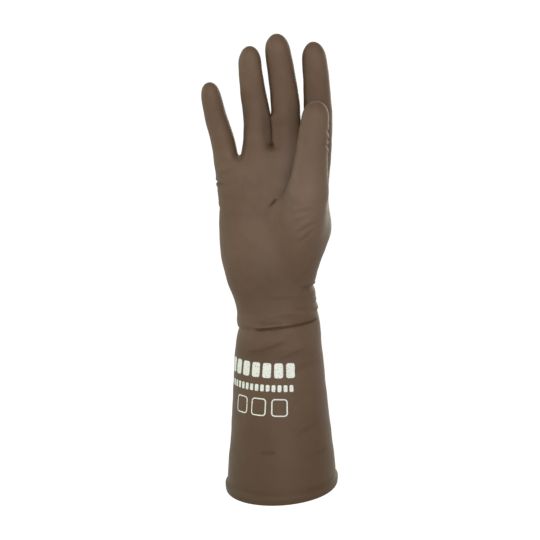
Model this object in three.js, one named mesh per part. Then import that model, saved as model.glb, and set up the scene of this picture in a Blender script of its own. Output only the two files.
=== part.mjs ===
// A latex gauntlet glove for the right hand, in the form it has when worn.
// The palm faces -Y, the fingers point to +Z and the thumb is on the +X side.
// The origin is the middle of the cuff's open mouth, in millimetres.
// The glove is one dipped film of even thickness that ends in a rolled rim at the mouth.
import * as THREE from 'three';

// Driving dimensions of the film and the rolled rim
const wall = 1.0;
const rimHeight = 7.4;
const rimProud = 1.5;
const rimInward = 0.3;
const rimNeck = 1; // from the top of the bead to the plain film
const mouthTilt = 4.1; // degrees, thumb side up
const mouthPitch = 3.9; // degrees, palm side down
const mouthTiltReach = 70; // height over which the tilt fades out

// Driving dimensions of the cuff and the hand
const cuffLength = 130;
const palmLength = 110;
const mouthWidth = 75.6;
const mouthDepth = 74;
const wristWidth = 56.2;
const wristDepth = 42;
const knuckleWidth = 80;
const knuckleDepth = 27;
const fingerGap = 0.8; // between fingers that stand side by side
const webRise = 2.2; // how far a finger web's middle stands above its ends
const webDrop = 3.5; // how much lower a finger web starts on the back of the hand

// Driving dimensions of the thumb
const thumbRise = 122;
const thumbSpread = 12.6;
const thumbReach = 40;
const thumbWidth = 24;
const thumbDepth = 20.5;
const thumbDome = 11;
const thumbWebHeight = 72; // above the wrist
const thumbWebRise = 6; // how far the web's middle stands above its ends
const thumbWebReach = 3; // how far the web stands off the palm
const thumbRootAside = 9;
const thumbRootForward = 5;
const thumbRootHeight = 20; // above the wrist

// Fingers: length from the knuckle line to the tip, width and depth near the knuckles, length of the
// rounded tip, narrow as the width share where that tip starts, lean to the side and curl to the
// front as shares of the length.
const FINGERS = [
  { length: 54.6, width: 17.4, depth: 16.4, dome: 10.5, narrow: 0.82, lean: -0.232, curl: 0.17 },
  { length: 70.4, width: 20.2, depth: 18.2, dome: 12.5, narrow: 0.80, lean: -0.058, curl: 0.16 },
  { length: 75.2, width: 21.2, depth: 18.6, dome: 13, narrow: 0.85, lean: -0.117, curl: 0.15 },
  { length: 74.8, width: 20.8, depth: 18.2, dome: 13.5, narrow: 0.84, lean: -0.045, curl: 0.15 },
];

// Sideways bow of each finger's axis off the straight line at three places, as shares of its length
const BOW_PLACES = { low: 0.33, middle: 0.55, high: 0.78 };
const FINGER_BOWS = [
  { low: -0.006, middle: -0.02, high: -0.019 },
  { low: 0.026, middle: 0.002, high: -0.013 },
  { low: 0.012, middle: 0.018, high: 0.006 },
  { low: 0.023, middle: 0.021, high: 0.011 },
];

// Cuff sections: up as a share of cuffLength, flare as the share of the way from the wrist's size to
// the mouth's, sway of the centre as a share of wristWidth.
const CUFF_SECTIONS = [
  { up: 0.0, flare: 1.03, sway: 0.0 },
  { up: 0.13, flare: 0.93, sway: -0.008 },
  { up: 0.33, flare: 0.66, sway: -0.014 },
  { up: 0.56, flare: 0.40, sway: -0.033 },
  { up: 0.71, flare: 0.265, sway: -0.041 },
  { up: 0.81, flare: 0.115, sway: -0.039 },
  { up: 0.9, flare: 0.03, sway: -0.043 },
];

// Hand sections: up as a share of palmLength, spread and thin as shares of the way from the wrist's
// width and depth to the knuckles', sway as above, square as the section's exponent above an ellipse's.
const HAND_SECTIONS = [
  { up: 0.0, spread: 0.0, thin: 0.0, sway: -0.075, square: 0.05 },
  { up: 0.1, spread: 0.11, thin: 0.10, sway: -0.126, square: 0.10 },
  { up: 0.25, spread: 0.37, thin: 0.28, sway: -0.15, square: 0.2 },
  { up: 0.36, spread: 0.66, thin: 0.42, sway: -0.115, square: 0.3 },
  { up: 0.45, spread: 0.86, thin: 0.52, sway: -0.082, square: 0.35 },
  { up: 0.6, spread: 0.82, thin: 0.66, sway: -0.092, square: 0.4 },
  { up: 0.75, spread: 0.86, thin: 0.80, sway: -0.112, square: 0.4 },
  { up: 0.9, spread: 0.95, thin: 0.93, sway: -0.12, square: 0.4 },
  { up: 1.0, spread: 1.0, thin: 1.0, sway: -0.122, square: 0.4 },
];

// Height of the line where the fingers divide, across the palm from the little finger to the index,
// as shares of palmLength.
const KNUCKLE_LINE = [
  { across: 0.0, up: 0.85 },
  { across: 0.25, up: 0.922 },
  { across: 0.5, up: 0.99 },
  { across: 0.75, up: 0.98 },
  { across: 1.0, up: 0.91 },
];

// Thumb axis from its root beside the wrist to its tip: shares of thumbRise, thumbSpread and
// thumbReach, and girth as a share of thumbWidth and thumbDepth.
const THUMB_AXIS = [
  { rise: 0.0, spread: 0.0, reach: 0.0, girth: 0.84 },
  { rise: 0.16, spread: 0.19, reach: 0.12, girth: 1.2 },
  { rise: 0.32, spread: 0.35, reach: 0.29, girth: 1.32 },
  { rise: 0.44, spread: 0.49, reach: 0.45, girth: 1.24 },
  { rise: 0.52, spread: 0.61, reach: 0.56, girth: 1.12 },
  { rise: 0.64, spread: 0.72, reach: 0.72, girth: 0.955 },
  { rise: 0.78, spread: 0.825, reach: 0.88, girth: 0.845 },
  { rise: 0.9, spread: 0.92, reach: 0.98, girth: 0.765 },
  { rise: 1.0, spread: 1.0, reach: 1.0, girth: 0.74 },
];

// Pads and hollows of the palm: aside as a share of knuckleWidth, up as a share of palmLength,
// size as a share of knuckleWidth, swell as a share of knuckleDepth towards the front.
const PALM_PADS = [
  { aside: -0.36, up: 0.3, size: 0.26, swell: 0.05 },
  { aside: -0.14, up: 0.6, size: 0.2, swell: -0.03 },
  { aside: -0.3, up: 0.86, size: 0.16, swell: 0.05 },
  { aside: 0.02, up: 0.9, size: 0.18, swell: 0.05 },
];

// Folds of the film: up as a share of cuffLength above the mouth, rise as the slope towards the
// thumb, wide and deep in millimetres, middle and span as angles around the arm (-90 is the front).
const FOLDS = [
  { up: 0.916, rise: 0.19, wide: 2.4, deep: 1.9, middle: -68, span: 78 },
  { up: 1.078, rise: 0.1, wide: 2.2, deep: 1.0, middle: -8, span: 36 },
  { up: 1.0, rise: 0.16, wide: 2.4, deep: 0.8, middle: -22, span: 42 },
  { up: 0.865, rise: 0.0, wide: 2.6, deep: 0.8, middle: 185, span: 34 },
  { up: 0.8, rise: 0.29, wide: 4.2, deep: 0.6, middle: -92, span: 50 },
  { up: 0.755, rise: 0.25, wide: 4.0, deep: 0.5, middle: -52, span: 40 },
  { up: 0.97, rise: 0.0, wide: 3.2, deep: 1.0, middle: 92, span: 60 },
  { up: 0.9, rise: -0.12, wide: 3.4, deep: 0.8, middle: 84, span: 50 },
];

// How finely the skin is divided
const fingerColumns = 4; // on the front of each finger, and again on each side
const thumbColumns = 12; // on the thumb's outer side
const thumbWebColumns = 9;
const cuffRings = 10;
const wristRings = 12;
const thenarRings = 9;
const knuckleRings = 5;
const digitRings = 10;
const domeRings = 4;
const arcSteps = 60; // on the arc that the thumb's columns are spaced along
const wristFrom = 0.74; // the closer rings of the wrist, as shares of cuffLength
const wristTo = 1.13;
const ringCrowding = 1.25; // how much closer the rings stand at a digit's base
const tipOpening = 0.6; // how far the last ring stays from the tip, in rings

// How softly forms run into each other
const thenarRounding = 11; // between the ball of the thumb and the palm
const fingerBlend = 11; // height over which a finger takes its own section
const thumbBlend = 22;
const thenarFade = 2; // how fast the ball of the thumb fades out beside its edge
const domeFullness = 0.9; // 1 is a round fingertip, less is a blunter one
const curlPower = 1.6; // how late a finger curls to the front
const narrowFrom = 0.1; // where a finger starts and stops narrowing, as shares of its length
const narrowTo = 0.9;
const foldMargin = 10; // folds end this far above the thumb's web
const crestShare = 0.6; // height of the roll above a fold, as a share of the fold's depth
const crestPlace = 1.6; // how far above the fold the roll lies, in widths of the fold
const fingerExponent = 2.15;
const thumbExponent = 2.2;
const sideAngle = 28; // from the middle of a side of the hand to its front or back columns
const thumbDirection = 312; // angle at which the thumb's columns are centred
const fingerFirstAngle = 225; // angle of a digit's first column on its own section
const thumbFirstAngle = 204;
const easeShare = 0.5; // how far each round of easing moves a point to its neighbours' middle
const easeRounds = 10;
const easeNearWebs = [1, 1, 0.8, 0.55, 0.3]; // strength at a web and at the points around it
const easeElsewhere = 0.12;

// Small tools
const DEGREE = Math.PI / 180;
const mix = (a, b, share) => a + (b - a) * share;
const smooth = (share) => THREE.MathUtils.smoothstep(share, 0, 1);
const hump = (distance) => Math.exp(-distance * distance);

// A smooth function through the rows of a table, which returns the row's other columns
function rowsAlong(rows, along) {
  const columns = Object.keys(rows[0]).filter((name) => name !== along);
  const places = rows.map((row) => row[along]);
  const values = rows.flatMap((row) => columns.map((name) => row[name]));
  const curve = new THREE.CubicInterpolant(places, values, columns.length);
  return (place) => {
    const found = curve.evaluate(THREE.MathUtils.clamp(place, places[0], places.at(-1)));
    return Object.fromEntries(columns.map((name, i) => [name, found[i]]));
  };
}

// Points at equal distances along a polyline, both ends included
function spaceEvenly(line, count) {
  const reached = [0];
  line.slice(1).forEach((point, i) => reached.push(reached[i] + point.distanceTo(line[i])));
  const spaced = [];
  for (let k = 0, i = 0; k <= count; k++) {
    const target = (reached.at(-1) * k) / count;
    while (i < line.length - 2 && reached[i + 1] < target) i++;
    const share = (target - reached[i]) / (reached[i + 1] - reached[i]);
    spaced.push(line[i].clone().lerp(line[i + 1], share));
  }
  return spaced;
}

// Heights that several forms share
const webZ = cuffLength + thumbWebHeight;
const thumbRootZ = cuffLength + thumbRootHeight;
const skinStart = rimHeight + rimNeck;

// Sections of the cuff and hand at any height
const sections = [
  ...CUFF_SECTIONS.map(({ up, flare, sway }) => ({
    height: up * cuffLength,
    centre: sway * wristWidth,
    halfWidth: mix(wristWidth, mouthWidth, flare) / 2,
    halfDepth: mix(wristDepth, mouthDepth, flare) / 2,
    exponent: 2,
  })),
  ...HAND_SECTIONS.map(({ up, spread, thin, sway, square }) => ({
    height: cuffLength + up * palmLength,
    centre: sway * wristWidth,
    halfWidth: mix(wristWidth, knuckleWidth, spread) / 2,
    halfDepth: mix(wristDepth, knuckleDepth, thin) / 2,
    exponent: 2 + square,
  })),
];
const sectionAt = rowsAlong(sections, 'height');

// The thumb's axis and girth at any share of its length
const thumbAt = rowsAlong(THUMB_AXIS, 'rise');
function thumbCentre(share) {
  const row = thumbAt(share);
  return new THREE.Vector3(
    thumbRootAside + row.spread * thumbSpread,
    -thumbRootForward - row.reach * thumbReach,
    thumbRootZ + share * thumbRise,
  );
}

// How far the ball of the thumb reaches along a ray from the section's centre, 0 where it doesn't
function thenarReach(section, direction, height) {
  const share = (height - thumbRootZ) / thumbRise;
  if (share < 0) return 0;
  const centre = thumbCentre(share);
  const radius = (thumbAt(share).girth * thumbWidth) / 2;
  const offset = new THREE.Vector2(centre.x - section.centre, centre.y);
  const along = offset.dot(direction);
  if (along <= 0) return 0;
  const aside = Math.abs(offset.cross(direction));
  if (aside < radius) return along + Math.sqrt(radius * radius - aside * aside);
  return along * hump((thenarFade * (aside - radius)) / radius);
}

// The larger of two lengths, with the corner between them rounded off
function roundedMax(a, b, rounding) {
  const share = THREE.MathUtils.clamp(0.5 + (a - b) / (2 * rounding), 0, 1);
  return mix(b, a, share) + rounding * share * (1 - share);
}

// A point on the skin of the cuff or hand, at an angle around it and a height
function skinPoint(angle, height, withThumb) {
  const section = sectionAt(height);
  const { halfWidth, halfDepth, exponent, centre } = section;
  const direction = new THREE.Vector2(halfWidth * Math.cos(angle), halfDepth * Math.sin(angle)).normalize();
  const aside = Math.abs(direction.x / halfWidth) ** exponent;
  const forward = Math.abs(direction.y / halfDepth) ** exponent;
  let radius = (aside + forward) ** (-1 / exponent);
  if (withThumb) radius = roundedMax(radius, thenarReach(section, direction, height), thenarRounding);
  return new THREE.Vector3(centre + radius * direction.x, radius * direction.y, height);
}

// Columns of the hand: the front from the little finger to the index, the thumb side, the back, and
// the little finger's side. The thumb takes the place of some front columns below its web.
const frontColumns = fingerColumns * FINGERS.length;
const sideColumns = fingerColumns;
const handColumns = 2 * (frontColumns + sideColumns);
const thumbFirst = frontColumns / 2;
const thumbLast = thumbFirst + thumbWebColumns;

// Angle of a hand column near the knuckles
function handAngle(column) {
  const frontSpan = 180 - 2 * sideAngle;
  const corners = [0, frontColumns, frontColumns + sideColumns, handColumns - sideColumns, handColumns];
  const first = 180 + sideAngle;
  const angles = [first, first + frontSpan, 360 + sideAngle, 540 - sideAngle, 540 + sideAngle];
  const wrapped = column % handColumns;
  const corner = corners.findLastIndex((start) => start <= wrapped);
  const share = (wrapped - corners[corner]) / (corners[corner + 1] - corners[corner]);
  return mix(angles[corner], angles[corner + 1], share) * DEGREE;
}

// Angle of a column at the mouth, where all columns are spaced evenly and the thumb's are centred
// on the same direction as at its web
const lowerColumns = handColumns - thumbWebColumns + thumbColumns;
function mouthAngle(column) {
  const step = 360 / lowerColumns;
  const start = thumbDirection + (thumbColumns * step) / 2;
  const unwrapped = column < thumbLast ? column + handColumns : column;
  return (start + (unwrapped - thumbLast) * step) * DEGREE;
}

function lowerAngle(column, height) {
  const share = smooth(height / webZ);
  const target = handAngle(column);
  const start = mouthAngle(column);
  const turn = Math.round((start - target) / (2 * Math.PI)) * 2 * Math.PI;
  return mix(start, target + turn, share);
}

// The outer skin: its points and four-sided faces, and the points next to the webs
const points = [];
const faces = [];
const webs = new Set();
const addPoint = (point) => points.push(point) - 1;

function joinLoops(lower, upper) {
  lower.forEach((corner, i) => {
    const next = (i + 1) % lower.length;
    faces.push([corner, lower[next], upper[next], upper[i]]);
  });
}

// Lower loops, from the rim to the thumb's web
const wristLow = wristFrom * cuffLength;
const wristHigh = wristTo * cuffLength;
const lowerHeights = [skinStart];
for (let i = 1; i <= cuffRings; i++) lowerHeights.push(mix(skinStart, wristLow, i / cuffRings));
for (let i = 1; i <= wristRings; i++) lowerHeights.push(mix(wristLow, wristHigh, i / wristRings));
for (let i = 1; i <= thenarRings; i++) lowerHeights.push(mix(wristHigh, webZ, i / thenarRings));

function lowerLoop(height) {
  const loop = [];
  for (let column = 0; column < thumbFirst; column++) {
    loop.push(skinPoint(lowerAngle(column, height), height, true));
  }
  const arc = [];
  const start = lowerAngle(thumbFirst, height);
  let end = lowerAngle(thumbLast, height);
  while (end < start) end += 2 * Math.PI;
  while (end > start + 2 * Math.PI) end -= 2 * Math.PI;
  for (let i = 0; i <= arcSteps; i++) arc.push(skinPoint(mix(start, end, i / arcSteps), height, true));
  loop.push(...spaceEvenly(arc, thumbColumns));
  for (let column = thumbLast + 1; column < handColumns; column++) {
    loop.push(skinPoint(lowerAngle(column, height), height, true));
  }
  return loop;
}

const mouthLoop = lowerLoop(lowerHeights[0]).map(addPoint);
let below = mouthLoop;
for (const height of lowerHeights.slice(1)) {
  const loop = lowerLoop(height).map(addPoint);
  joinLoops(below, loop);
  below = loop;
}

// The thumb's web: a path across the last lower loop that parts the thumb from the palm
const webPath = [];
for (let i = 1; i < thumbWebColumns; i++) {
  const swell = Math.sin((Math.PI * i) / thumbWebColumns);
  const point = skinPoint(handAngle(thumbFirst + i), webZ, false);
  const outward = new THREE.Vector2(point.x - sectionAt(webZ).centre, point.y).normalize();
  point.x += outward.x * thumbWebReach * swell;
  point.y += outward.y * thumbWebReach * swell;
  point.z += thumbWebRise * swell;
  webPath.push(addPoint(point));
}
const palmBase = [...below.slice(0, thumbFirst + 1), ...webPath, ...below.slice(thumbFirst + thumbColumns)];
const thumbBase = [...below.slice(thumbFirst, thumbFirst + thumbColumns + 1), ...webPath.toReversed()];
[below[thumbFirst], below[thumbFirst + thumbColumns], ...webPath].forEach((index) => webs.add(index));

// Palm loops, from the thumb's web to the line where the fingers divide
const knuckleAt = rowsAlong(KNUCKLE_LINE, 'across');
function knuckleHeight(column) {
  const backStart = frontColumns + sideColumns;
  const backEnd = backStart + frontColumns;
  let across = column / frontColumns;
  let drop = 0;
  if (column > frontColumns) {
    across = THREE.MathUtils.clamp((backEnd - column) / frontColumns, 0, 1);
    drop = webDrop;
    if (column < backStart) drop *= (column - frontColumns) / sideColumns;
    if (column > backEnd) drop *= (handColumns - column) / sideColumns;
  }
  return cuffLength + knuckleAt(across).up * palmLength - drop;
}

below = palmBase;
for (let ring = 1; ring <= knuckleRings; ring++) {
  const loop = below.map((_, column) => {
    const start = points[palmBase[column]].z;
    const height = mix(start, knuckleHeight(column), ring / knuckleRings);
    return addPoint(skinPoint(handAngle(column), height, false));
  });
  joinLoops(below, loop);
  below = loop;
}
const knuckleLoop = below;

// The webs between fingers: short paths from the front of the knuckle line to its back
const mirrored = (column) => handColumns - sideColumns - column;
function fingerWeb(column) {
  const front = points[knuckleLoop[column]];
  const back = points[knuckleLoop[mirrored(column)]];
  const path = [];
  for (let i = 1; i < sideColumns; i++) {
    const share = i / sideColumns;
    const point = front.clone().lerp(back, share);
    point.z += webRise * Math.sin(Math.PI * share);
    path.push(addPoint(point));
  }
  [knuckleLoop[column], knuckleLoop[mirrored(column)], ...path].forEach((index) => webs.add(index));
  return path;
}
const fingerSides = [];
fingerSides.push(knuckleLoop.slice(handColumns - sideColumns + 1).toReversed());
for (let finger = 1; finger < FINGERS.length; finger++) fingerSides.push(fingerWeb(finger * fingerColumns));
fingerSides.push(knuckleLoop.slice(frontColumns + 1, frontColumns + sideColumns));

// Grow a digit from a loop of skin points. The axis and the half sizes are functions of the share of
// its length. Close to the loop the digit keeps the loop's form, and at its end it is rounded off.
function growDigit({ base, axis, halfSizes, length, dome, blend, firstAngle, exponent }) {
  const domeStart = 1 - dome / length;
  const axisStep = 0.02;
  const steps = [];
  for (let i = 1; i <= digitRings; i++) {
    const share = domeStart * (i / digitRings) ** ringCrowding;
    steps.push({ share, scale: 1, keep: 1 - smooth((share * length) / blend) });
  }
  for (let i = 1; i <= domeRings; i++) {
    const turn = (i / (domeRings + tipOpening)) * (Math.PI / 2);
    const share = mix(domeStart, 1, Math.sin(turn));
    steps.push({ share, scale: Math.cos(turn) ** domeFullness, keep: 0 });
  }
  const origin = axis(0);
  let lower = base;
  for (const { share, scale, keep } of steps) {
    const centre = axis(share);
    const ahead = axis(Math.min(share + axisStep, 1));
    const behind = axis(Math.max(Math.min(share, 1 - axisStep) - axisStep, 0));
    const tangent = ahead.sub(behind).normalize();
    const side = new THREE.Vector3(1, 0, 0).addScaledVector(tangent, -tangent.x).normalize();
    const back = tangent.clone().cross(side);
    const { halfWidth, halfDepth } = halfSizes(share);
    const loop = base.map((index, i) => {
      const angle = firstAngle + (2 * Math.PI * i) / base.length;
      const across = Math.sign(Math.cos(angle)) * Math.abs(Math.cos(angle)) ** (2 / exponent);
      const deep = Math.sign(Math.sin(angle)) * Math.abs(Math.sin(angle)) ** (2 / exponent);
      const regular = centre.clone();
      regular.addScaledVector(side, halfWidth * scale * across);
      regular.addScaledVector(back, halfDepth * scale * deep);
      const kept = points[index].clone().add(centre).sub(origin);
      return addPoint(regular.lerp(kept, keep));
    });
    joinLoops(lower, loop);
    lower = loop;
  }
  const tip = addPoint(axis(1));
  lower.forEach((corner, i) => faces.push([corner, lower[(i + 1) % lower.length], tip]));
}

// The four fingers
FINGERS.forEach((finger, place) => {
  const first = place * fingerColumns;
  const last = first + fingerColumns;
  const base = [
    ...knuckleLoop.slice(first, last + 1),
    ...fingerSides[place + 1],
    ...knuckleLoop.slice(mirrored(last), mirrored(first) + 1),
    ...fingerSides[place].toReversed(),
  ];
  const origin = new THREE.Vector3();
  base.forEach((index) => origin.addScaledVector(points[index], 1 / base.length));
  const bows = Object.entries(FINGER_BOWS[place]).map(([name, aside]) => ({ up: BOW_PLACES[name], aside }));
  const bowAt = rowsAlong([{ up: 0, aside: 0 }, ...bows, { up: 1, aside: 0 }], 'up');
  growDigit({
    base,
    axis: (share) => new THREE.Vector3(
      origin.x + finger.length * (finger.lean * share + bowAt(share).aside),
      origin.y - finger.length * finger.curl * share ** curlPower,
      origin.z + finger.length * share,
    ),
    halfSizes: (share) => {
      const narrowing = mix(1, finger.narrow, smooth((share - narrowFrom) / (narrowTo - narrowFrom)));
      const halfWidth = ((finger.width - fingerGap / 2) / 2) * narrowing;
      return { halfWidth, halfDepth: (finger.depth / 2) * narrowing };
    },
    length: finger.length,
    dome: finger.dome,
    blend: fingerBlend,
    firstAngle: fingerFirstAngle * DEGREE,
    exponent: fingerExponent,
  });
});

// The thumb, from its web upwards
const thumbStartShare = (webZ + thumbWebRise / 2 - thumbRootZ) / thumbRise;
const thumbLength = thumbRise * (1 - thumbStartShare);
growDigit({
  base: thumbBase,
  axis: (share) => thumbCentre(mix(thumbStartShare, 1, share)),
  halfSizes: (share) => {
    const { girth } = thumbAt(mix(thumbStartShare, 1, share));
    return { halfWidth: (thumbWidth / 2) * girth, halfDepth: (thumbDepth / 2) * girth };
  },
  length: thumbLength,
  dome: thumbDome,
  blend: thumbBlend,
  firstAngle: thumbFirstAngle * DEGREE,
  exponent: thumbExponent,
});

// Neighbours of each point along the faces' edges
const neighbours = points.map(() => new Set());
for (const face of faces) {
  face.forEach((corner, i) => {
    const next = face[(i + 1) % face.length];
    neighbours[corner].add(next);
    neighbours[next].add(corner);
  });
}

// Ease the skin near the webs: full strength at a web, fading over the next few points
const easeStrength = points.map(() => easeElsewhere);
let front = [...webs];
for (const strength of easeNearWebs) {
  const next = [];
  for (const index of front) {
    if (easeStrength[index] >= strength) continue;
    easeStrength[index] = strength;
    next.push(...neighbours[index]);
  }
  front = next;
}
mouthLoop.forEach((index) => { easeStrength[index] = 0; });
for (let round = 0; round < easeRounds; round++) {
  const eased = points.map((point, index) => {
    const middle = new THREE.Vector3();
    const weight = 1 / neighbours[index].size;
    neighbours[index].forEach((other) => middle.addScaledVector(points[other], weight));
    return point.clone().lerp(middle, easeShare * easeStrength[index]);
  });
  eased.forEach((point, index) => points[index].copy(point));
}

// Directions straight out of the skin at each point
function skinNormals() {
  const normals = points.map(() => new THREE.Vector3());
  for (const face of faces) {
    const [a, b, c] = face.map((index) => points[index]);
    const d = face.length === 4 ? points[face[3]] : a;
    const normal = c.clone().sub(a).cross(d.clone().sub(b));
    face.forEach((index) => normals[index].add(normal));
  }
  return normals.map((normal) => normal.normalize());
}

// Press the pads, hollows and folds into the skin
const angleApart = (a, b) => Math.abs(THREE.MathUtils.euclideanModulo(a - b + 180, 360) - 180);
const foldTop = webZ + foldMargin;
skinNormals().forEach((normal, index) => {
  const point = points[index];
  let out = 0;
  const facing = Math.max(0, -normal.y);
  for (const pad of PALM_PADS) {
    const aside = (point.x - pad.aside * knuckleWidth) / (pad.size * knuckleWidth);
    const up = (point.z - cuffLength - pad.up * palmLength) / (pad.size * knuckleWidth);
    out += pad.swell * knuckleDepth * hump(Math.hypot(aside, up)) * facing;
  }
  const section = sectionAt(point.z);
  const sideways = (point.x - section.centre) / section.halfWidth;
  const angle = Math.atan2(point.y / section.halfDepth, sideways) / DEGREE;
  for (const fold of FOLDS) {
    if (point.z > foldTop) break;
    const line = fold.up * cuffLength + fold.rise * point.x;
    const above = (point.z - line) / fold.wide;
    const window = hump(angleApart(angle, fold.middle) / fold.span);
    out += fold.deep * window * (crestShare * hump(above - crestPlace) - hump(above));
  }
  point.addScaledVector(normal, out);
});

// Tilt the mouth: the thumb side stands a little higher and the palm side hangs a little lower
for (const point of points) {
  const share = 1 - smooth((point.z - skinStart) / mouthTiltReach);
  point.z += share * (Math.tan(mouthTilt * DEGREE) * point.x + Math.tan(mouthPitch * DEGREE) * point.y);
}

// The inner skin follows the outer one a wall further in
const normals = skinNormals();
const innerPoints = points.map((point, index) => point.clone().addScaledVector(normals[index], -wall));

// The rolled rim: an oval bead from the outer skin round the mouth to the inner skin
const RIM_ANGLES = [52, 8, -38, -90, -142, -188, -232];
const rimHalfWidth = (rimProud + wall + rimInward) / 2;
const rimMiddle = rimProud - rimHalfWidth;
const rimLoops = RIM_ANGLES.map((degrees) => mouthLoop.map((index) => {
  const out = new THREE.Vector3(normals[index].x, normals[index].y, 0).normalize();
  const point = points[index].clone();
  point.addScaledVector(out, rimMiddle + rimHalfWidth * Math.cos(degrees * DEGREE));
  point.z += (rimHeight / 2) * (1 + Math.sin(degrees * DEGREE)) - skinStart;
  return point;
}));

// Join both skins and the rim into one closed solid
const allPoints = [...points, ...innerPoints, ...rimLoops.flat()];
const triangles = [];
function addFace(corners) {
  const [a, b, c, d] = corners.map((index) => allPoints[index]);
  if (corners.length === 3) triangles.push(...corners);
  else if (a.distanceTo(c) <= b.distanceTo(d)) {
    triangles.push(corners[0], corners[1], corners[2], corners[0], corners[2], corners[3]);
  } else triangles.push(corners[0], corners[1], corners[3], corners[1], corners[2], corners[3]);
}
for (const face of faces) {
  addFace(face);
  addFace(face.map((index) => index + points.length).toReversed());
}
const rimStart = 2 * points.length;
const rimPaths = [
  mouthLoop,
  ...rimLoops.map((loop, k) => loop.map((_, i) => rimStart + k * mouthLoop.length + i)),
  mouthLoop.map((index) => index + points.length),
];
rimPaths.slice(1).forEach((path, k) => {
  const above = rimPaths[k];
  path.forEach((corner, i) => {
    const next = (i + 1) % path.length;
    addFace([corner, path[next], above[next], above[i]]);
  });
});

const geometry = new THREE.BufferGeometry();
const positions = allPoints.flatMap((point) => point.toArray());
geometry.setAttribute('position', new THREE.Float32BufferAttribute(positions, 3));
geometry.setIndex(triangles);
geometry.computeVertexNormals();

const latex = new THREE.MeshStandardMaterial({ color: 0x6a5a49, roughness: 0.55, metalness: 0 });
latex.name = 'latex';
const glove = new THREE.Mesh(geometry, latex);
glove.name = 'glove';

const part = new THREE.Group();
part.add(glove);

export default part;
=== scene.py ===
"""Looks of a latex gauntlet glove.

The frame is in metres, with the palm towards -Y, the fingers up and the thumb at +X.
Sizes below are in millimetres unless a name says otherwise.
"""

import math

import bmesh
import bpy
import numpy as np
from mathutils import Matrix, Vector


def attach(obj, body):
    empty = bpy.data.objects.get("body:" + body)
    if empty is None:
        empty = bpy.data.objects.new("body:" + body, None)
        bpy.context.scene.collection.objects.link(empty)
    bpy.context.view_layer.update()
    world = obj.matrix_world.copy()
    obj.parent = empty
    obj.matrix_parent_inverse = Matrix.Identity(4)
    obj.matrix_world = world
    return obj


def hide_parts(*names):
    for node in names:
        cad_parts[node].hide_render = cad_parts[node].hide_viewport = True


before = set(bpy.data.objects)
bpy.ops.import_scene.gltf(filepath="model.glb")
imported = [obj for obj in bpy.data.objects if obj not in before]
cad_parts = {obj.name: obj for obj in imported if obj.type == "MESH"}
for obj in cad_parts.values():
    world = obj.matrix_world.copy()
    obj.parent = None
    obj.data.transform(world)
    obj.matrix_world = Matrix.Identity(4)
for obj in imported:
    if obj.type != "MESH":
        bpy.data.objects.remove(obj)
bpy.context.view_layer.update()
MM = 0.001

# Camera, its distance in metres: a long lens a little above the middle of the glove
VIEW_ELEVATION = math.radians(11)
VIEW_DISTANCE = 1.2
VIEW_AIM = Vector((-8.4, 0, 152.7)) * MM
SENSOR_MM = 36
LENS_MM = 117.65

# Stage, in metres: the floor is pale near the glove and turns white further off, where the camera
# sees it. The sky's edges are sines of the height above the horizon.
FLOOR_HEIGHT = -0.75
FLOOR_SIZE = 120
FLOOR_COLOUR = (0.7, 0.7, 0.7)
FLOOR_ROUGHNESS = 0.9
FLOOR_GLOW = 0.87
GLOW_FROM = 1.2
GLOW_TO = 2.2
SKY_COLOUR = (0.96, 1.0, 0.9)
SKY_STRENGTH = 0.27
HORIZON_COLOUR = (1.0, 0.98, 0.92)
HORIZON_STRENGTH = 1.1
HORIZON_EDGE = 0.12
SKY_EDGE = 0.26

# Soft square lights: name, place, height of the point on the glove's axis that it is aimed at, size,
# power and colour, in metres and watts
LIGHTS = [
    ("key", (0.1, -1.05, 0.42), 0.2, 0.7, 7.3, (1, 1, 1)),
    ("side", (-0.95, -0.1, 0.45), 0.18, 0.6, 2.6, (0.86, 1.0, 0.72)),
    ("top", (0, -0.45, 1.2), 0.2, 0.7, 2.5, (1, 1, 1)),
    ("back_top", (0, 0.85, 0.95), 0.17, 0.7, 4, (1, 1, 1)),
    ("back_right", (0.6, 0.85, 0.4), 0.18, 0.7, 5.5, (1.0, 0.95, 0.72)),
    ("back_left", (-0.8, 0.6, 0.5), 0.18, 0.5, 1.5, (0.9, 1.0, 0.8)),
]

# Mesh: points closer than MERGE are one. Faces are divided once more within a reach of the folds that
# are no wider than a width, and on the inner skin only where a fold is deeper than SHALLOW.
MERGE = 0.001
SUBDIVISION = 2
RIM_TOP = 9
RIM_FACING_DOWN = -0.8
SHARP_WIDTH = 1.0
SHARP_REACH = 2.3
FINE_WIDTH = 0.76
FINE_REACH = 1.5
SHALLOW = 0.8
LEAST_WINDOW = 0.3

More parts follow.
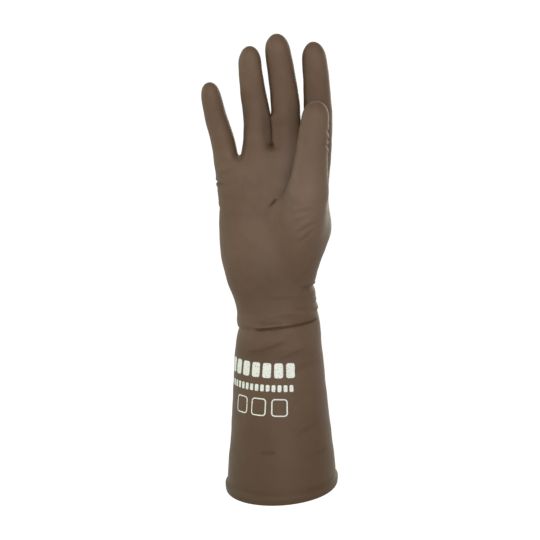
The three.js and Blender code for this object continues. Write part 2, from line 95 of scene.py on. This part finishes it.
# Folds and creases that are too fine for the CAD. facing is the angle round the glove that a fold is
# seen from: -90 the palm side, 0 the thumb side, 90 the back, 180 the little finger's side.
# u is measured sideways as seen from there and z upwards; wide and deep are the groove's, crest is
# the height of the roll above it and dark how much painted shade its bottom gets.
FOLD_COLUMNS = ("facing", "u0", "z0", "u1", "z1", "wide", "deep", "crest", "dark")
FOLDS = [dict(zip(FOLD_COLUMNS, row)) for row in (
    (-90, -18, 114.9, 25, 120.4, 0.7, 0.75, 0.8, 0.85),
    (-90, -32, 114.2, -13, 115.6, 1.1, 0.35, 0.55, 0.1),
    (-90, -10, 122.4, 22, 127.2, 1.3, 0.3, 0.35, 0.05),
    (-90, 8, 131, 22, 132.6, 1.4, 0.2, 0.25, 0),
    (-90, -6, 135.5, 20, 137, 1.8, 0.35, 0.3, 0.05),
    (-90, -22, 97.5, 0, 105.5, 1.8, 0.75, 0.7, 0.15),
    (-90, -2, 94.6, 17, 101.8, 1.7, 0.75, 0.7, 0.15),
    (-90, 8, 87.6, 23, 94.4, 1.6, 0.7, 0.6, 0.2),
    (-90, -14.5, 31.8, -5.5, 33.2, 0.6, 0.6, 0.4, 0.6),
    (-90, -12, 41.8, -7, 42.2, 1.2, 0.35, 0.2, 0.2),
    (-90, 12, 45.8, 22, 50.2, 1.0, 0.5, 0.3, 0.4),
    (-80, 16.5, 30.2, 25.5, 32.6, 0.95, 0.55, 0.3, 0.4),
    (-90, -4.2, 204.8, -8.4, 199.4, 0.75, 1.6, 0.3, 1),
    (-90, -8.0, 199.2, -11.5, 192, 1.2, 0.4, 0.1, 0.2),
    (-90, 9.4, 183.6, 21.5, 190.6, 1.3, 0.75, 0.65, 0.15),
    (-90, 11, 177, 21.5, 185.6, 1.3, 0.75, 0.6, 0.15),
    (-90, 6, 196.6, 19, 200, 1.4, 0.4, 0.4, 0.05),
    (-90, 8, 191, 17, 194.6, 1.3, 0.35, 0.35, 0.05),
    (-90, -41, 219.6, -32, 224, 1.1, 0.35, 0.2, 0.1),
    (180, -6, 214.4, 8, 212.6, 0.85, 1.3, 0.3, 0.7),
    (180, -6, 209.6, 7, 209.0, 1.2, 0.4, 0.3, 0),
    (180, -6, 195.6, 5, 195.6, 1.4, 0.45, 0.25, 0),
    (-20, -9, 143.6, 9, 142.6, 0.95, 0.8, 0.8, 0.3),
    (-10, -8, 131.6, 10, 131, 1.2, 0.6, 0.4, 0.1),
    (-10, -8, 125.4, 10, 124.6, 1.2, 0.6, 0.4, 0.1),
    (15, -53, 252.4, -43, 252.0, 0.95, 1.1, 0.25, 0.2),
    (15, -53, 247.2, -43, 246.6, 1.0, 0.6, 0.5, 0.3),
    (15, -52, 242.8, -42, 242.0, 0.95, 1.0, 0.25, 0.2),
    (15, -51, 237.4, -41, 236.8, 1.1, 0.55, 0.3, 0.1),
    (180, -9, 112.8, 8, 112.4, 1.1, 0.5, 0.4, 0.2),
    (90, -18, 122, 16, 126, 1.1, 0.9, 0.5, 0.4),
    (90, -12, 113, 20, 111, 1.5, 0.5, 0.35, 0.1),
    (90, -20, 137, -2, 133, 1.6, 0.4, 0.3, 0.1),
    (90, -22, 98, -3, 104, 1.8, 0.7, 0.6, 0.1),
    (90, 0, 100.5, 21, 94, 1.8, 0.7, 0.6, 0.1),
    (90, -17, 43, -9, 44.5, 1.1, 0.5, 0.3, 0.3),
    (90, 9, 31.5, 19, 29.5, 1.1, 0.5, 0.3, 0.3),
    (90, -27, 186, -17, 178, 1.6, 0.4, 0.35, 0),
    (90, 22, 205, 31, 199, 1.6, 0.4, 0.35, 0),
)]
# A fold fades out by FOLD_FADE past its ends, its crest lies CREST_PLACE widths above it, and it counts
# where the skin faces its way by more than FOLD_FACING.
FOLD_FADE = 3.5
CREST_PLACE = 1.7
FOLD_FACING = 0.05
FOLD_FACING_SPAN = 0.5

# The mouth's tilt in degrees, and lines that run round the rim at a height above its lower edge
MOUTH_TILT = 4.1
MOUTH_PITCH = 3.9
# dark is the painted shade put into each line's groove
RIM_LINES = [
    {"height": 8.3, "wide": 0.6, "deep": 0.6, "dark": 0.6},
    {"height": 5.6, "wide": 0.5, "deep": -0.2, "dark": 0},
    {"height": 2.6, "wide": 0.5, "deep": 0.28, "dark": 0.3},
]

# Soft swells and hollows of the palm side and of the back's knuckles, out in millimetres. to is the
# side of the glove along Y.
PALM = -1
BACK = 1
SWELLS = [
    {"to": PALM, "x": -12, "z": 166, "reach": 17, "out": 1.3},
    {"to": PALM, "x": -8, "z": 138, "reach": 14, "out": -0.8},
    {"to": BACK, "x": 21, "z": 229, "reach": 8, "out": 0.9},
    {"to": BACK, "x": 3, "z": 233, "reach": 8, "out": 1.0},
    {"to": BACK, "x": -14, "z": 229, "reach": 7, "out": 0.9},
    {"to": BACK, "x": -29, "z": 220, "reach": 7, "out": 0.8},
]

# Painted light and shade on the palm side, the cuff and the rim, paler where light falls and darker
# where shade falls: the value is 1 for the palest and -1 for the darkest
PAINTED_LIGHT_SPOTS = [
    {"x": 17, "z": 222, "reach_x": 9, "reach_z": 26, "thin": 0.55},
    {"x": 5, "z": 224, "reach_x": 7, "reach_z": 18, "thin": 0.5},
    {"x": 14, "z": 196, "reach_x": 12, "reach_z": 16, "thin": 0.3},
    {"x": -6, "z": 142, "reach_x": 24, "reach_z": 20, "thin": -0.85},
    {"x": -14, "z": 98, "reach_x": 32, "reach_z": 7, "thin": -0.8},
    {"x": -22, "z": 6, "reach_x": 34, "reach_z": 16, "thin": -0.5},
]

# A spot of painted light or shade, or a web, counts where the skin faces its way, and fully from this share
# on
FACING_SPAN = 0.6

# Webs that reach further down between the fingers than in the CAD
WEB_DROPS = [
    {"x": -29, "z": 234, "reach": 5, "down": 2.6},
    {"x": -6.6, "z": 240, "reach": 4, "down": 2.0},
]

# The ring and middle fingers are pressed together between these heights, on the plane through these
# two places, and overlap by a hair so that no light comes through. Skin within reach of the plane
# counts, fading out over edge, where it faces the plane by more than facing.
PRESSED = {
    "x_low": -6.6, "z_low": 238, "x_high": -8.3, "z_high": 257, "fade": 4, "reach": 4.5, "edge": 2,
    "facing": 0.35, "facing_span": 0.5, "overlap": 0.12,
}
SLIT_SHADE_LEFT = 4.2
SLIT_SHADE_RIGHT = 1.2

# The sides of the fingers that face each other, above a height, get painted shade
FINGER_SIDES = {"z": 232, "fade": 12, "steep": 0.72, "dark": 0.75, "x_low": -36, "x_high": 20, "y_low": -20}

# Slow waves of the film: height, wavelength and direction of each. They fade in above the rim.
WAVE_FADE = 12
WAVES = [
    {"height": 0.10, "length": 31, "x": 0.8, "y": 0.5, "z": 0.6, "shift": 0.4},
    {"height": 0.08, "length": 19, "x": -0.5, "y": 0.7, "z": 0.8, "shift": 2.1},
    {"height": 0.05, "length": 11, "x": 0.7, "y": -0.3, "z": 0.9, "shift": 4.4},
]

# Colours of the latex, linear: its own tones, then painted shade towards the cuff's rim, painted light and
# shade on the palm side, painted shade in the creases, and the inside's colour
LATEX_DEEP = (0.081, 0.0458, 0.0264)
LATEX_PALE = (0.108, 0.0647, 0.0400)
LATEX_CUFF_SHADE = (0.064, 0.0345, 0.0145)
LATEX_PAINTED_LIGHT = (0.152, 0.096, 0.071)
LATEX_PAINTED_SHADE = (0.066, 0.0365, 0.019)
LATEX_CREASE_SHADE = (0.034, 0.018, 0.009)
LATEX_INSIDE = (0.165, 0.115, 0.080)
SHEEN = (0.95, 1.0, 0.85)
INK = (0.66, 0.69, 0.64)

# Patterns of the latex: the size of each, and its share in the tone between the two colours
CLOUD_SIZE = 38
BLOTCH_SIZE = 7
GRAIN_SIZE = 0.9
CLOUD_SHARE = 0.55
BLOTCH_SHARE = 0.3
GRAIN_SHARE = 0.15
TONE_DEEP = 0.3
TONE_PALE = 0.7

# How far other colours cover these: the cuff's painted shade from a height down, the painted shade in
# the creases, the inside's colour and the ink's, whose worn specks have a size and a pair of levels
CUFF_SHADE_HEIGHT = 120
CUFF_SHADE_SHARE = 0.75
CREASE_SHADE_SHARE = 0.8
INSIDE_SHARE = 0.75
INK_SHARE = 0.92
WEAR_SIZE = 0.7
WEAR_BARE = 0.28
WEAR_FULL = 0.42

# Gloss and fine relief
ROUGHNESS = 0.54
BLOTCH_ROUGHNESS = 0.12
INSIDE_ROUGHNESS = 0.25
SPECULAR = 0.28
REFRACTION = 1.5
SHEEN_WEIGHT = 0.07
SHEEN_ROUGHNESS = 0.35
RIPPLE_SIZE = 3.2
RIPPLE_HEIGHT = 0.25
PORE_SIZE = 0.45
PORE_HEIGHT = 0.05
PORE_ROUGHNESS = 0.6
BUMP_STRENGTH = 0.35

# Plain printed marks on the cuff: rows of shapes with rounded corners. middle is the height of a row,
# start and end its reach round the cuff, outline the thickness of a hollow shape's line, or 0 for a
# full one.
PRINT_ROW_COLUMNS = ("middle", "start", "end", "pitch", "width", "height", "corner", "outline")
PRINT_ROWS = [dict(zip(PRINT_ROW_COLUMNS, row)) for row in (
    (88.5, -46.8, 12, 8.4, 6.2, 10, 1.6, 0),
    (76.5, -46, 10, 4.0, 2.6, 4.6, 0.8, 0),
    (63.5, -35, 7, 14.0, 10.5, 12, 2.4, 0.8),
)]
PRINT_CENTRE_X = -2
PRINT_RADIUS = 31.6
PRINT_FLATNESS = 0.84
PRINT_EDGE = 0.12


def make_camera():
    data = bpy.data.cameras.new("camera")
    data.sensor_width = SENSOR_MM
    data.lens = LENS_MM
    camera = bpy.data.objects.new("camera", data)
    back = Vector((0, -math.cos(VIEW_ELEVATION), math.sin(VIEW_ELEVATION)))
    camera.location = VIEW_AIM + back * VIEW_DISTANCE
    camera.rotation_euler = (math.pi / 2 - VIEW_ELEVATION, 0, 0)
    bpy.context.scene.collection.objects.link(camera)
    bpy.context.scene.camera = camera


def make_sky(tree, sky):
    """A dim sky over a white band round the horizon, which meets the white floor."""
    way = tree.nodes.new("ShaderNodeTexCoord")
    split = tree.nodes.new("ShaderNodeSeparateXYZ")
    steep = tree.nodes.new("ShaderNodeMath")
    steep.operation = "ABSOLUTE"
    share = tree.nodes.new("ShaderNodeMapRange")
    share.interpolation_type = "SMOOTHSTEP"
    share.inputs["From Min"].default_value = HORIZON_EDGE
    share.inputs["From Max"].default_value = SKY_EDGE
    strength = tree.nodes.new("ShaderNodeMapRange")
    strength.inputs["To Min"].default_value = HORIZON_STRENGTH
    strength.inputs["To Max"].default_value = SKY_STRENGTH
    colour = tree.nodes.new("ShaderNodeMix")
    colour.data_type = "RGBA"
    colour.inputs["A"].default_value = (*HORIZON_COLOUR, 1)
    colour.inputs["B"].default_value = (*SKY_COLOUR, 1)
    tree.links.new(way.outputs["Generated"], split.inputs[0])
    tree.links.new(split.outputs["Z"], steep.inputs[0])
    tree.links.new(steep.outputs[0], share.inputs["Value"])
    tree.links.new(share.outputs["Result"], strength.inputs["Value"])
    tree.links.new(share.outputs["Result"], colour.inputs["Factor"])
    tree.links.new(strength.outputs["Result"], sky.inputs["Strength"])
    tree.links.new(colour.outputs["Result"], sky.inputs["Color"])


def make_stage():
    bpy.context.scene.view_settings.view_transform = "Standard"
    mesh = bpy.data.meshes.new("floor")
    half = FLOOR_SIZE / 2
    corners = [(-half, -half), (half, -half), (half, half), (-half, half)]
    mesh.from_pydata([(x, y, FLOOR_HEIGHT) for x, y in corners], [], [(0, 1, 2, 3)])
    floor = bpy.data.objects.new("floor", mesh)
    bpy.context.scene.collection.objects.link(floor)
    paint = bpy.data.materials.new("pale_floor")
    paint.use_nodes = True
    shader = paint.node_tree.nodes["Principled BSDF"]
    shader.inputs["Base Color"].default_value = (*FLOOR_COLOUR, 1)
    shader.inputs["Roughness"].default_value = FLOOR_ROUGHNESS
    shader.inputs["Specular IOR Level"].default_value = 0
    shader.inputs["Emission Color"].default_value = (1, 1, 1, 1)
    place = paint.node_tree.nodes.new("ShaderNodeTexCoord")
    distance = paint.node_tree.nodes.new("ShaderNodeVectorMath")
    distance.operation = "LENGTH"
    glow = paint.node_tree.nodes.new("ShaderNodeMapRange")
    glow.inputs["From Min"].default_value = GLOW_FROM
    glow.inputs["From Max"].default_value = GLOW_TO
    glow.inputs["To Max"].default_value = FLOOR_GLOW
    paint.node_tree.links.new(place.outputs["Object"], distance.inputs[0])
    paint.node_tree.links.new(distance.outputs["Value"], glow.inputs["Value"])
    paint.node_tree.links.new(glow.outputs["Result"], shader.inputs["Emission Strength"])
    mesh.materials.append(paint)

    world = bpy.data.worlds.new("studio")
    world.use_nodes = True
    bpy.context.scene.world = world
    sky = world.node_tree.nodes["Background"]
    make_sky(world.node_tree, sky)

    for name, place, aim, size, power, colour in LIGHTS:
        data = bpy.data.lights.new(name, "AREA")
        data.size = size
        data.energy = power
        data.color = colour
        light = bpy.data.objects.new(name, data)
        light.location = place
        light.rotation_mode = "QUATERNION"
        light.rotation_quaternion = (Vector((0, 0, aim)) - Vector(place)).to_track_quat("-Z", "Y")
        bpy.context.scene.collection.objects.link(light)


def join_to_quads(bm):
    """Turns pairs of triangles back into the four-sided faces that they came from."""
    bm.faces.index_update()
    longest = {face.index: max(face.edges, key=lambda edge: edge.calc_length()) for face in bm.faces}
    diagonals = [
        edge for edge in bm.edges
        if len(edge.link_faces) == 2 and all(longest[face.index] is edge for face in edge.link_faces)
    ]
    bmesh.ops.dissolve_edges(bm, edges=diagonals, use_verts=False, use_face_split=False)
    left = [face for face in bm.faces if len(face.verts) == 3]
    bmesh.ops.join_triangles(bm, faces=left, angle_face_threshold=math.pi, angle_shape_threshold=math.pi)


def mark_inside(bm):
    """Gives each point 0 on the outer skin and 1 on the inner one, parted by the rim's lowest loop."""
    bm.normal_update()
    layer = bm.verts.layers.float.new("inside")
    for vert in bm.verts:
        vert[layer] = 1
    lowest = {v for v in bm.verts if v.co.z < RIM_TOP * MM and v.normal.z < RIM_FACING_DOWN}
    for vert in lowest:
        vert[layer] = 0
    reached = [max(bm.verts, key=lambda v: v.co.z)]
    while reached:
        vert = reached.pop()
        if vert in lowest or vert[layer] == 0:
            continue
        vert[layer] = 0
        reached.extend(edge.other_vert(vert) for edge in vert.link_edges)


def coordinates(mesh):
    values = np.empty(len(mesh.vertices) * 3)
    mesh.vertices.foreach_get("co", values)
    return values.reshape(-1, 3)


def subdivided(mesh, name):
    """A smoothly subdivided copy whose surface still passes close to the points of the mesh."""
    target = coordinates(mesh)
    holder = bpy.data.objects.new(name, mesh)
    bpy.context.scene.collection.objects.link(holder)
    modifier = holder.modifiers.new("smooth", "SUBSURF")
    modifier.levels = SUBDIVISION
    modifier.render_levels = SUBDIVISION

    def evaluate():
        graph = bpy.context.evaluated_depsgraph_get()
        return bpy.data.meshes.new_from_object(holder.evaluated_get(graph), depsgraph=graph)

    first = evaluate()
    shrunk = coordinates(first)[:len(target)]
    mesh.vertices.foreach_set("co", (target + (target - shrunk)).ravel())
    mesh.update()
    result = evaluate()
    bpy.data.objects.remove(holder)
    bpy.data.meshes.remove(first)
    return result


def smooth(share):
    share = np.clip(share, 0, 1)
    return share * share * (3 - 2 * share)


def hump(distance):
    return np.exp(-distance * distance)


def skin_points(mesh):
    """Places in millimetres, directions away from the hollow, and which points lie on the inner skin."""
    normals = np.empty(len(mesh.vertices) * 3)
    mesh.vertices.foreach_get("normal", normals)
    inside = np.empty(len(mesh.vertices))
    mesh.attributes["inside"].data.foreach_get("value", inside)
    outward = normals.reshape(-1, 3) * np.where(inside > 0.5, -1, 1)[:, None]
    return coordinates(mesh) / MM, outward, inside


def fold_place(points, outward, fold):
    """How far above a fold's line each point is, and how much the fold counts there."""
    angle = math.radians(fold["facing"])
    u = points[:, 1] * math.cos(angle) - points[:, 0] * math.sin(angle)
    z = points[:, 2]
    along = np.array([fold["u1"] - fold["u0"], fold["z1"] - fold["z0"]], float)
    length = np.hypot(*along)
    along /= length
    across = np.array([-along[1], along[0]])
    if across[1] < 0:
        across = -across
    s = (u - fold["u0"]) * along[0] + (z - fold["z0"]) * along[1]
    d = (u - fold["u0"]) * across[0] + (z - fold["z0"]) * across[1]
    window = smooth((s + FOLD_FADE) / (2 * FOLD_FADE)) * smooth((length + FOLD_FADE - s) / (2 * FOLD_FADE))
    facing = outward[:, 0] * math.cos(angle) + outward[:, 1] * math.sin(angle)
    return d, window * smooth((facing - FOLD_FACING) / FOLD_FACING_SPAN)


def refine_near_folds(mesh, width, reach):
    """Divides the faces along the folds that are no wider than width, so that they come out crisp.

    The inner skin is divided only where a fold is deep.
    """
    points, outward, inside = skin_points(mesh)
    outside = inside < 0.5
    near = np.zeros(len(points), bool)
    for fold in FOLDS:
        if fold["wide"] <= width:
            distance, window = fold_place(points, outward, fold)
            counts = outside | (fold["deep"] > SHALLOW)
            near |= (np.abs(distance) < reach) & (window > LEAST_WINDOW) & counts
    bm = bmesh.new()
    bm.from_mesh(mesh)
    edges = [edge for edge in bm.edges if near[edge.verts[0].index] and near[edge.verts[1].index]]
    bmesh.ops.subdivide_edges(bm, edges=edges, cuts=1, use_grid_fill=True)
    bm.to_mesh(mesh)
    bm.free()


def press_fingers(points, outward):
    """Moves the facing sides of the ring and middle finger onto the plane between them.

    Returns the painted shade of the line between them at each point.
    """
    height = points[:, 2]
    share = (height - PRESSED["z_low"]) / (PRESSED["z_high"] - PRESSED["z_low"])
    plane = PRESSED["x_low"] + share * (PRESSED["x_high"] - PRESSED["x_low"])
    gap = points[:, 0] - plane
    facing = -np.sign(gap) * outward[:, 0]
    fade = PRESSED["fade"]
    level = smooth((height - PRESSED["z_low"] + fade) / fade)
    level *= smooth((PRESSED["z_high"] + fade - height) / fade)
    weight = level * smooth((facing - PRESSED["facing"]) / PRESSED["facing_span"])
    weight *= smooth((PRESSED["reach"] - np.abs(gap)) / PRESSED["edge"])
    points[:, 0] -= weight * (gap + np.sign(gap) * PRESSED["overlap"])
    return level * hump(gap / np.where(gap < 0, SLIT_SHADE_LEFT, SLIT_SHADE_RIGHT))


def shade_finger_sides(points, outward):
    """How much painted shade the sides get that the fingers turn to each other."""
    to_right = (outward[:, 0] > 0) & (points[:, 0] < FINGER_SIDES["x_high"])
    to_left = (outward[:, 0] < 0) & (points[:, 0] > FINGER_SIDES["x_low"])
    facing = (to_right | to_left) & (points[:, 1] > FINGER_SIDES["y_low"])
    steep = smooth((np.abs(outward[:, 0]) - FINGER_SIDES["steep"]) / (1 - FINGER_SIDES["steep"]))
    above = smooth((points[:, 2] - FINGER_SIDES["z"]) / FINGER_SIDES["fade"])
    return FINGER_SIDES["dark"] * facing * steep * above


def lower_webs(points, outward):
    """Draws the bottom of a web down, so that the fingers part further down."""
    for web in WEB_DROPS:
        distance = np.hypot(points[:, 0] - web["x"], points[:, 2] - web["z"])
        points[:, 2] -= web["down"] * hump(distance / web["reach"]) * smooth(outward[:, 2] / FACING_SPAN)


def line_rim(points, outside):
    """How far the lines round the rim press each point in, and how much painted shade they put there."""
    tilt = math.tan(math.radians(MOUTH_TILT)) * points[:, 0]
    pitch = math.tan(math.radians(MOUTH_PITCH)) * points[:, 1]
    height = points[:, 2] - tilt - pitch
    groove = np.zeros(len(points))
    dark = np.zeros(len(points))
    for line in RIM_LINES:
        share = hump((height - line["height"]) / line["wide"]) * outside
        groove += line["deep"] * share
        dark += line["dark"] * share
    return groove, dark


def press_folds(mesh):
    """Presses folds, swells and slow waves into both skins alike.

    Stores the painted shade of the creases and the painted light and shade of the palm side at each point.
    """
    points, outward, inside = skin_points(mesh)
    groove, painted_crease_shade = line_rim(points, 1 - inside)
    moved = -groove
    lower_webs(points, outward)
    painted_crease_shade += press_fingers(points, outward)
    painted_crease_shade += shade_finger_sides(points, outward)
    for fold in FOLDS:
        distance, window = fold_place(points, outward, fold)
        groove = window * hump(distance / fold["wide"])
        moved -= fold["deep"] * groove
        moved += fold["crest"] * window * hump(distance / fold["wide"] - CREST_PLACE)
        # Painted shade along the bottom of each fold
        painted_crease_shade += fold["dark"] * groove
    for swell in SWELLS:
        distance = np.hypot(points[:, 0] - swell["x"], points[:, 2] - swell["z"])
        moved += swell["out"] * hump(distance / swell["reach"]) * smooth(outward[:, 1] * swell["to"])
    # Painted light and shade of the palm side, the cuff and the rim
    thin = np.zeros(len(points))
    for spot in PAINTED_LIGHT_SPOTS:
        across = (points[:, 0] - spot["x"]) / spot["reach_x"]
        above = (points[:, 2] - spot["z"]) / spot["reach_z"]
        thin += spot["thin"] * hump(np.hypot(across, above)) * smooth(-outward[:, 1] / FACING_SPAN)
    above_rim = smooth((points[:, 2] - RIM_TOP) / WAVE_FADE)
    for wave in WAVES:
        way = np.array([wave["x"], wave["y"], wave["z"]])
        phase = points @ way * (2 * math.pi / wave["length"]) + wave["shift"]
        moved += wave["height"] * np.sin(phase) * above_rim
    points += outward * moved[:, None]
    mesh.vertices.foreach_set("co", (points * MM).ravel())
    for name, values in (("painted_crease_shade", np.clip(painted_crease_shade, 0, 1)), ("thin", thin)):
        layer = mesh.attributes.new(name, "FLOAT", "POINT")
        layer.data.foreach_set("value", values)
    mesh.update()


class Nodes:
    """Short ways to add shader nodes to a material."""

    def __init__(self, name):
        self.material = bpy.data.materials.new(name)
        self.material.use_nodes = True
        self.tree = self.material.node_tree
        self.shader = self.tree.nodes["Principled BSDF"]

    def add(self, kind, **settings):
        node = self.tree.nodes.new(kind)
        for key, value in settings.items():
            setattr(node, key, value)
        return node

    def connect(self, source, socket):
        if isinstance(source, (int, float)):
            socket.default_value = source
        elif isinstance(source, tuple):
            socket.default_value = (*source, 1)
        else:
            self.tree.links.new(source, socket)

    def math(self, operation, *values, clamp=False):
        node = self.add("ShaderNodeMath", operation=operation, use_clamp=clamp)
        for value, socket in zip(values, node.inputs):
            self.connect(value, socket)
        return node.outputs[0]

    def ramp(self, value, low, high, start=0.0, end=1.0):
        node = self.add("ShaderNodeMapRange", interpolation_type="SMOOTHSTEP")
        for item, socket in zip((value, low, high, start, end), node.inputs):
            self.connect(item, socket)
        return node.outputs[0]

    def noise(self, place, millimetres, detail=2.0, roughness=0.5):
        node = self.add("ShaderNodeTexNoise")
        self.connect(place, node.inputs["Vector"])
        node.inputs["Scale"].default_value = 1 / (millimetres * MM)
        node.inputs["Detail"].default_value = detail
        node.inputs["Roughness"].default_value = roughness
        return node.outputs["Fac"]

    def mix(self, share, first, second):
        node = self.add("ShaderNodeMix", data_type="RGBA")
        self.connect(share, node.inputs["Factor"])
        self.connect(first, node.inputs["A"])
        self.connect(second, node.inputs["B"])
        return node.outputs["Result"]

    def attribute(self, name):
        return self.add("ShaderNodeAttribute", attribute_name=name).outputs["Fac"]

    def bump(self, height, millimetres, normal=None):
        node = self.add("ShaderNodeBump")
        node.inputs["Strength"].default_value = BUMP_STRENGTH
        node.inputs["Distance"].default_value = millimetres * MM
        self.connect(height, node.inputs["Height"])
        if normal is not None:
            self.connect(normal, node.inputs["Normal"])
        return node.outputs["Normal"]


def add_print(nodes, x, y, z):
    """How much of each place is covered by the plain printed marks on the cuff's palm side."""
    front = nodes.math("MULTIPLY", y, -1 / PRINT_FLATNESS)
    angle = nodes.math("ARCTAN2", nodes.math("SUBTRACT", x, PRINT_CENTRE_X), front)
    around = nodes.math("MULTIPLY", angle, PRINT_RADIUS)
    covered = 0.0
    for row in PRINT_ROWS:
        place = nodes.math("SUBTRACT", around, row["start"])
        turn = nodes.math("FLOORED_MODULO", place, row["pitch"])
        aside = nodes.math("ABSOLUTE", nodes.math("SUBTRACT", turn, row["pitch"] / 2))
        above = nodes.math("ABSOLUTE", nodes.math("SUBTRACT", z, row["middle"]))
        past_side = nodes.math("SUBTRACT", aside, row["width"] / 2 - row["corner"])
        past_side = nodes.math("MAXIMUM", past_side, 0.0)
        past_top = nodes.math("SUBTRACT", above, row["height"] / 2 - row["corner"])
        past_top = nodes.math("MAXIMUM", past_top, 0.0)
        side_squared = nodes.math("MULTIPLY", past_side, past_side)
        top_squared = nodes.math("MULTIPLY", past_top, past_top)
        distance = nodes.math("SQRT", nodes.math("ADD", side_squared, top_squared))
        distance = nodes.math("SUBTRACT", distance, row["corner"])
        if row["outline"]:
            middle = nodes.math("ABSOLUTE", nodes.math("ADD", distance, row["outline"] / 2))
            distance = nodes.math("SUBTRACT", middle, row["outline"] / 2)
        shape = nodes.ramp(distance, PRINT_EDGE, -PRINT_EDGE)
        after = nodes.math("GREATER_THAN", around, row["start"])
        before = nodes.math("LESS_THAN", around, row["end"])
        shape = nodes.math("MULTIPLY", shape, nodes.math("MULTIPLY", after, before))
        covered = nodes.math("MAXIMUM", shape, covered)
    return covered


def make_latex():
    nodes = Nodes("latex_film")
    place = nodes.add("ShaderNodeTexCoord").outputs["Object"]
    split = nodes.add("ShaderNodeSeparateXYZ")
    nodes.connect(place, split.inputs[0])
    x, y, z = (nodes.math("MULTIPLY", output, 1 / MM) for output in split.outputs)
    painted_crease_shade = nodes.attribute("painted_crease_shade")
    thin = nodes.attribute("thin")
    inside = nodes.attribute("inside")

    clouds = nodes.noise(place, CLOUD_SIZE, detail=3)
    blotches = nodes.noise(place, BLOTCH_SIZE, detail=3)
    grain = nodes.noise(place, GRAIN_SIZE)
    tone = nodes.math("MULTIPLY", clouds, CLOUD_SHARE)
    tone = nodes.math("ADD", tone, nodes.math("MULTIPLY", blotches, BLOTCH_SHARE))
    tone = nodes.math("ADD", tone, nodes.math("MULTIPLY", grain, GRAIN_SHARE))
    colour = nodes.mix(nodes.ramp(tone, TONE_DEEP, TONE_PALE), LATEX_DEEP, LATEX_PALE)
    # Painted shade, darker from the cuff's height down to the rim
    colour = nodes.mix(nodes.ramp(z, CUFF_SHADE_HEIGHT, 0, 0, CUFF_SHADE_SHARE), colour, LATEX_CUFF_SHADE)
    # Painted light on the thumb and beside it, painted shade on the wrist, the cuff and the rim
    colour = nodes.mix(nodes.math("MULTIPLY", thin, 1.0, clamp=True), colour, LATEX_PAINTED_LIGHT)
    colour = nodes.mix(nodes.math("MULTIPLY", thin, -1.0, clamp=True), colour, LATEX_PAINTED_SHADE)
    # Painted shade in the creases, the rim's lines, the slit and between the fingers
    colour = nodes.mix(nodes.math("MULTIPLY", painted_crease_shade, CREASE_SHADE_SHARE, clamp=True), colour, LATEX_CREASE_SHADE)
    colour = nodes.mix(nodes.math("MULTIPLY", inside, INSIDE_SHARE), colour, LATEX_INSIDE)

    ink = add_print(nodes, x, y, z)
    front = nodes.math("MULTIPLY", nodes.math("LESS_THAN", y, 0.0), nodes.math("SUBTRACT", 1.0, inside))
    wear = nodes.ramp(nodes.noise(place, WEAR_SIZE), WEAR_BARE, WEAR_FULL)
    ink = nodes.math("MULTIPLY", nodes.math("MULTIPLY", ink, front), wear)
    colour = nodes.mix(nodes.math("MULTIPLY", ink, INK_SHARE), colour, INK)
    nodes.connect(colour, nodes.shader.inputs["Base Color"])

    roughness = nodes.math("ADD", nodes.math("MULTIPLY", blotches, BLOTCH_ROUGHNESS), ROUGHNESS)
    roughness = nodes.math("ADD", roughness, nodes.math("MULTIPLY", inside, INSIDE_ROUGHNESS))
    nodes.connect(roughness, nodes.shader.inputs["Roughness"])
    nodes.shader.inputs["Specular IOR Level"].default_value = SPECULAR
    nodes.shader.inputs["IOR"].default_value = REFRACTION
    nodes.shader.inputs["Sheen Weight"].default_value = SHEEN_WEIGHT
    nodes.shader.inputs["Sheen Roughness"].default_value = SHEEN_ROUGHNESS
    nodes.shader.inputs["Sheen Tint"].default_value = (*SHEEN, 1)

    pores = nodes.noise(place, PORE_SIZE, detail=3, roughness=PORE_ROUGHNESS)
    ripples = nodes.noise(place, RIPPLE_SIZE)
    normal = nodes.bump(ripples, RIPPLE_HEIGHT)
    normal = nodes.bump(pores, PORE_HEIGHT, normal)
    nodes.connect(normal, nodes.shader.inputs["Normal"])
    return nodes.material


def make_glove():
    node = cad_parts["glove"]
    bm = bmesh.new()
    bm.from_mesh(node.data)
    bmesh.ops.remove_doubles(bm, verts=bm.verts, dist=MERGE * MM)
    join_to_quads(bm)
    mark_inside(bm)
    cage = bpy.data.meshes.new("glove_cage")
    bm.to_mesh(cage)
    bm.free()
    mesh = subdivided(cage, "glove_cage")
    bpy.data.meshes.remove(cage)
    mesh.name = "glove_skin"
    refine_near_folds(mesh, SHARP_WIDTH, SHARP_REACH)
    refine_near_folds(mesh, FINE_WIDTH, FINE_REACH)
    press_folds(mesh)
    mesh.shade_smooth()
    mesh.materials.clear()
    mesh.materials.append(make_latex())
    glove = bpy.data.objects.new("glove_skin", mesh)
    bpy.context.scene.collection.objects.link(glove)
    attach(glove, "root")
    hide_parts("glove")


make_camera()
make_stage()
make_glove()
